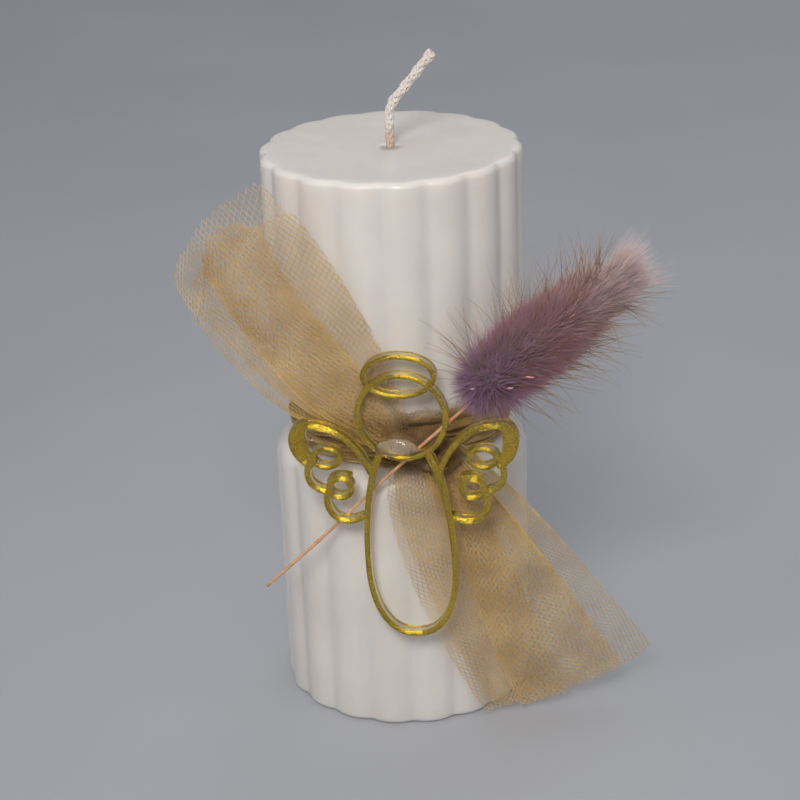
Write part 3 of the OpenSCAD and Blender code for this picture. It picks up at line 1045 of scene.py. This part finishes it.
def add_seeds():
    """Four husks that show through the plume: each has a place, a lean and a size."""
    base = flower_frame()
    strands = Strands(8)
    steps = 8
    husks = (
        ((5.0, 2.4, 6.6), -0.5, 0.6),
        ((15.0, -2.6, 7.0), -0.7, 1.0),
        ((10.7, -1.8, 7.2), -0.5, 0.8),
        ((28.7, 1.2, 6.0), 0.1, 0.7),
    )
    for place, lean, size in husks:
        axis = Vector((math.cos(lean), math.sin(lean), 0.25))
        path, radii = [], []
        for i in range(steps + 1):
            t = i / steps
            path.append(base @ (Vector(place) + size * 1.7 * (t - 0.5) * axis))
            radii.append(0.22 * size * math.sin(math.pi * (0.04 + 0.92 * t)) ** 0.7)
        strands.add_bent(path, radii)
    strands.build("bunny_tail_seeds", seed_material())


def add_stem():
    """A slightly bowed straw with two faint joints, cut square at its foot."""
    strands = Strands(12)
    base = CHARM @ Matrix.Translation(STEM_TOP) @ Matrix.Rotation(STEM_SLOPE, 4, "Z")
    steps = 90
    path, radii = [], []
    for i in range(steps + 1):
        t = i / steps
        x = STEM_INSIDE - (STEM_INSIDE + STEM_LEN) * t
        bow = 0.35 * math.sin(math.pi * t) * math.sin(5 * t)
        path.append(base @ Vector((x, bow, 0.04 * math.sin(9 * t))))
        joint = sum(0.10 * math.exp(-((t - at) / 0.008) ** 2) for at in (0.42, 0.78))
        radii.append(0.30 + 0.04 * t + joint)
    strands.add_bent(path, radii)
    strands.build("bunny_tail_straw", stem_material(), ["bunny_tail_stem"])


# ---- glue ----

def add_glue():
    """A lens of glue that swells through the head ring, with a thread drawn out of it."""
    points = []
    rows, columns = 26, 44
    middle = Vector((-1.5, 2.35 - HEAD_R, -1.25))
    for i in range(rows + 1):
        tilt = math.pi * i / rows
        for k in range(columns):
            turn = math.tau * k / columns
            ball = Vector((math.sin(tilt) * math.cos(turn), math.sin(tilt) * math.sin(turn),
                           math.cos(tilt)))
            lump = 1 + 0.14 * noise.noise(ball * 1.7 + Vector((2, 0, 0)))
            spread = Vector((4.0 * ball.x, 1.75 * ball.y - 0.25 * ball.x**2, 1.2 * ball.z))
            points.append(CHARM @ (middle + lump * spread))
    faces = ring_faces(rows, columns, along_first=True)
    material = glue_material()
    make_object("glue_lens", points, faces, material, ["glue_dab"])
    thread = Strands(6)
    hook = bezier((-18.4, -2.2, 0.05), (-19.2, -3.4, 0.5), (-18.6, -4.9, 0.4), (-17.3, -4.5, -0.1))
    steps = 10
    path = [CHARM @ hook(i / steps) for i in range(steps + 1)]
    radii = [0.09 + 0.05 * math.sin(9 * i / steps) ** 2 for i in range(steps + 1)]
    thread.add_bent(path, radii)
    thread.build("glue_thread", material)


# ---- charm ----

def finish_charm():
    """The charm keeps its CAD shape and takes new materials."""
    for name, material in (("angel_acrylic", acrylic_material()),
                           ("angel_mirror_back", mirror_material())):
        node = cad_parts[name]
        if not node.material_slots:
            node.data.materials.append(material)
        for material_slot in node.material_slots:
            material_slot.material = material


# ---- studio ----

def add_floor():
    """A plain pale floor, three metres out each way."""
    mesh = bpy.data.meshes.new("floor")
    mesh.from_pydata([(-3, -3, 0), (3, -3, 0), (3, 3, 0), (-3, 3, 0)], [], [(0, 1, 2, 3)])
    floor = Shader("pale_floor", Roughness=0.65)
    floor.colour(floor.ramp(floor.noise(9, 2), (0.3, (0.42, 0.43, 0.455)),
                            (0.7, (0.45, 0.46, 0.485))))
    mesh.materials.append(floor.material)
    plane = bpy.data.objects.new("floor", mesh)
    bpy.context.scene.collection.objects.link(plane)


def add_light(name, place, aim, size, watts, colour=(1, 1, 1), spread=180):
    """A round lamp of a size in metres, turned towards a point."""
    data = bpy.data.lights.new(name, "AREA")
    data.shape = "DISK"
    data.size = size
    data.energy = watts
    data.color = colour
    data.spread = math.radians(spread)
    lamp = bpy.data.objects.new(name, data)
    lamp.location = place
    lamp.rotation_euler = (Vector(aim) - Vector(place)).to_track_quat("-Z", "Y").to_euler()
    bpy.context.scene.collection.objects.link(lamp)


def add_world():
    """A plain backdrop, a little darker towards the horizon."""
    world = bpy.data.worlds.new("studio")
    world.use_nodes = True
    tree = world.node_tree
    place = tree.nodes.new("ShaderNodeTexCoord")
    split = tree.nodes.new("ShaderNodeSeparateXYZ")
    ramp = tree.nodes.new("ShaderNodeValToRGB")
    tree.links.new(place.outputs["Generated"], split.inputs["Vector"])
    tree.links.new(split.outputs["Z"], ramp.inputs["Fac"])
    tree.links.new(ramp.outputs["Color"], tree.nodes["Background"].inputs["Color"])
    ramp.color_ramp.elements[0].color = (0.30, 0.31, 0.34, 1)
    ramp.color_ramp.elements[1].color = (0.62, 0.63, 0.66, 1)
    tree.nodes["Background"].inputs["Strength"].default_value = 0.72
    bpy.context.scene.world = world


def add_studio():
    """A narrow key light from above the camera, soft fill from both sides and a rim light."""
    add_floor()
    add_world()
    middle = (0, 0, 0.07)
    add_light("key", (-0.07, -0.46, 0.43), (0, 0, 0.10), 0.18, 0.29, (1.0, 0.99, 0.97), 65)
    add_light("fill", (0.75, -0.45, 0.35), middle, 0.6, 0.6, (0.95, 0.97, 1.0))
    add_light("left", (-0.75, -0.25, 0.40), middle, 0.6, 0.5)
    add_light("rim", (0.25, 0.65, 0.75), middle, 0.5, 0.85)
    bpy.context.scene.view_settings.view_transform = "Standard"


add_camera()
open_net = net_material("gold_tulle", (0.90, 0.63, 0.26), (0.60, 0.37, 0.11))
# darker colours for the wrap and the knot: partly their many layers, partly painted shade in the
# groove and the knot
shaded_dense_net = net_material("gold_tulle_dense_shaded", (0.80, 0.54, 0.21), (0.42, 0.25, 0.08))
add_wax()
add_wick()
wrap = add_wrap(shaded_dense_net)
knot = add_knot(shaded_dense_net)
add_upper_tail(open_net)
add_lower_tail(open_net)
finish_charm()
add_spike()
add_fur()
add_awns()
add_seeds()
add_stem()
add_glue()
add_studio()
